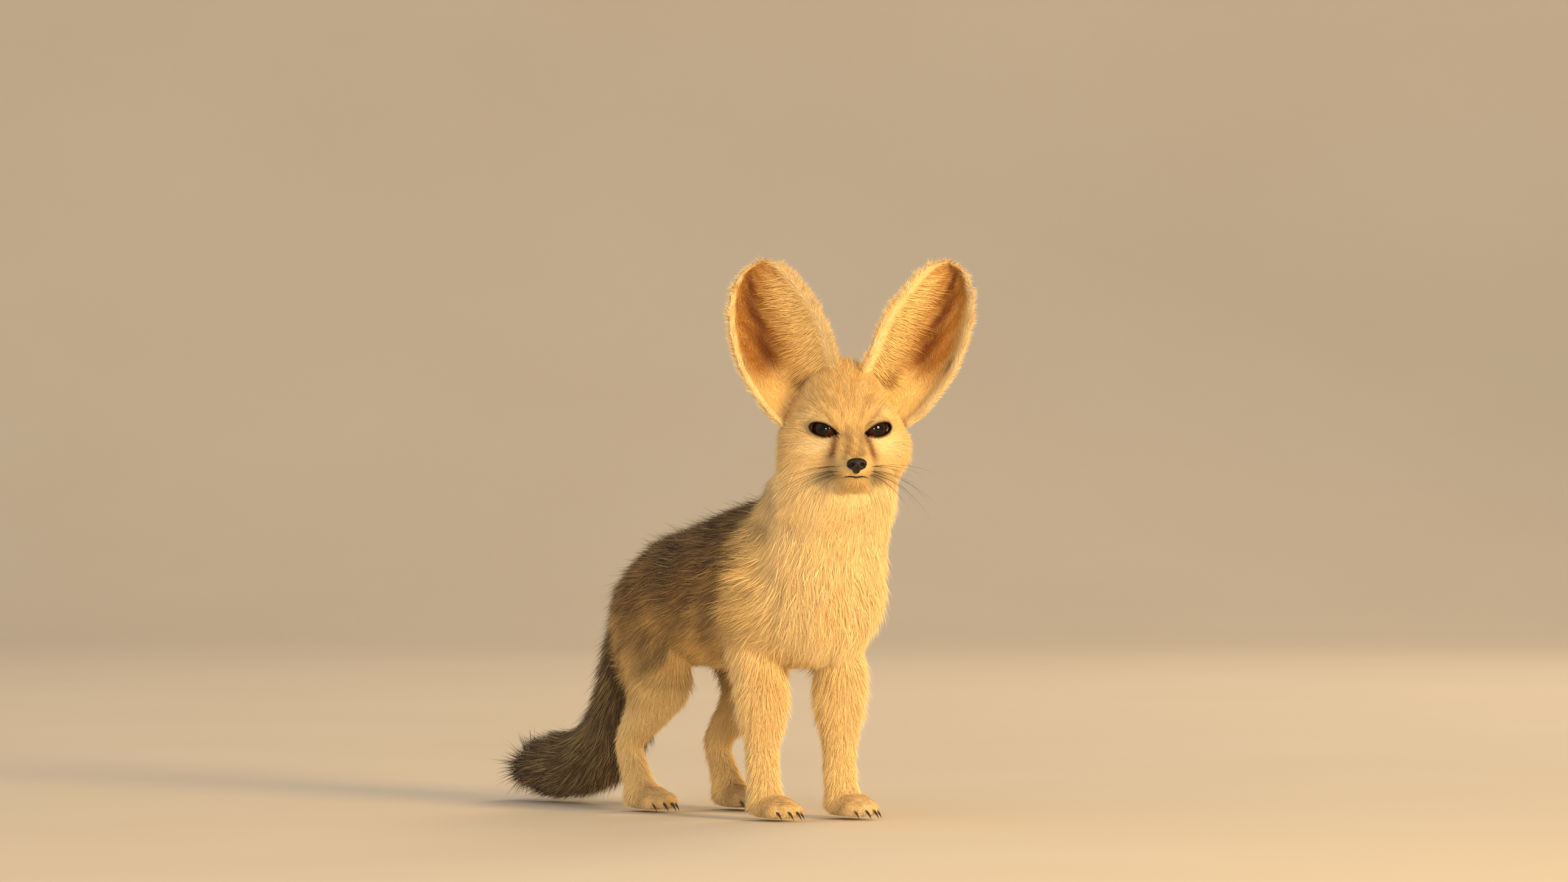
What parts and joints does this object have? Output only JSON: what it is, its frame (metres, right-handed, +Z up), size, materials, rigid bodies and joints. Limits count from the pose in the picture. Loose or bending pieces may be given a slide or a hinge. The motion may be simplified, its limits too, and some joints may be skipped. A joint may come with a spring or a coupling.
{
  "type": "fennec fox model",
  "caption": "Life-size still model of a fennec fox standing alert on all fours, head turned to its right, very large cupped ears up and a bushy tail hanging behind.",
  "frame": {"origin": "middle of the model's footprint box, on the floor under the soles", "axes": "+X the way the trunk points, +Y to the fox's left, +Z up"},
  "size_m": [0.3864, 0.129, 0.3345],
  "materials": {
    "face_coat": "short dense cream fur",
    "pale_coat": "soft cream to white fur",
    "sandy_coat": "sandy to grey-brown fur with dark guard-hair tips",
    "dark_coat": "blackish bushy fur",
    "ear_coat": "thin short fur over skin, thicker and paler on the rim",
    "nose_skin": "moist fine-grained bare skin",
    "eye": "wet gloss"
  },
  "bodies": {
    "root": {"head": "face_coat", "neck": "pale_coat", "torso": "sandy_coat", "nose": "nose_skin", "eye_left": "eye", "eye_right": "eye", "ear_left": "ear_coat", "ear_right": "ear_coat", "tail_root": "sandy_coat", "tail_middle": "sandy_coat", "tail_tip": "dark_coat", "front_leg_left": "pale_coat", "front_paw_left": "pale_coat", "shin_left": "pale_coat", "hind_foot_left": "pale_coat", "thigh_left": "sandy_coat", "front_leg_right": "pale_coat", "front_paw_right": "pale_coat", "shin_right": "pale_coat", "hind_foot_right": "pale_coat", "thigh_right": "sandy_coat"}
  },
  "joints": []
}
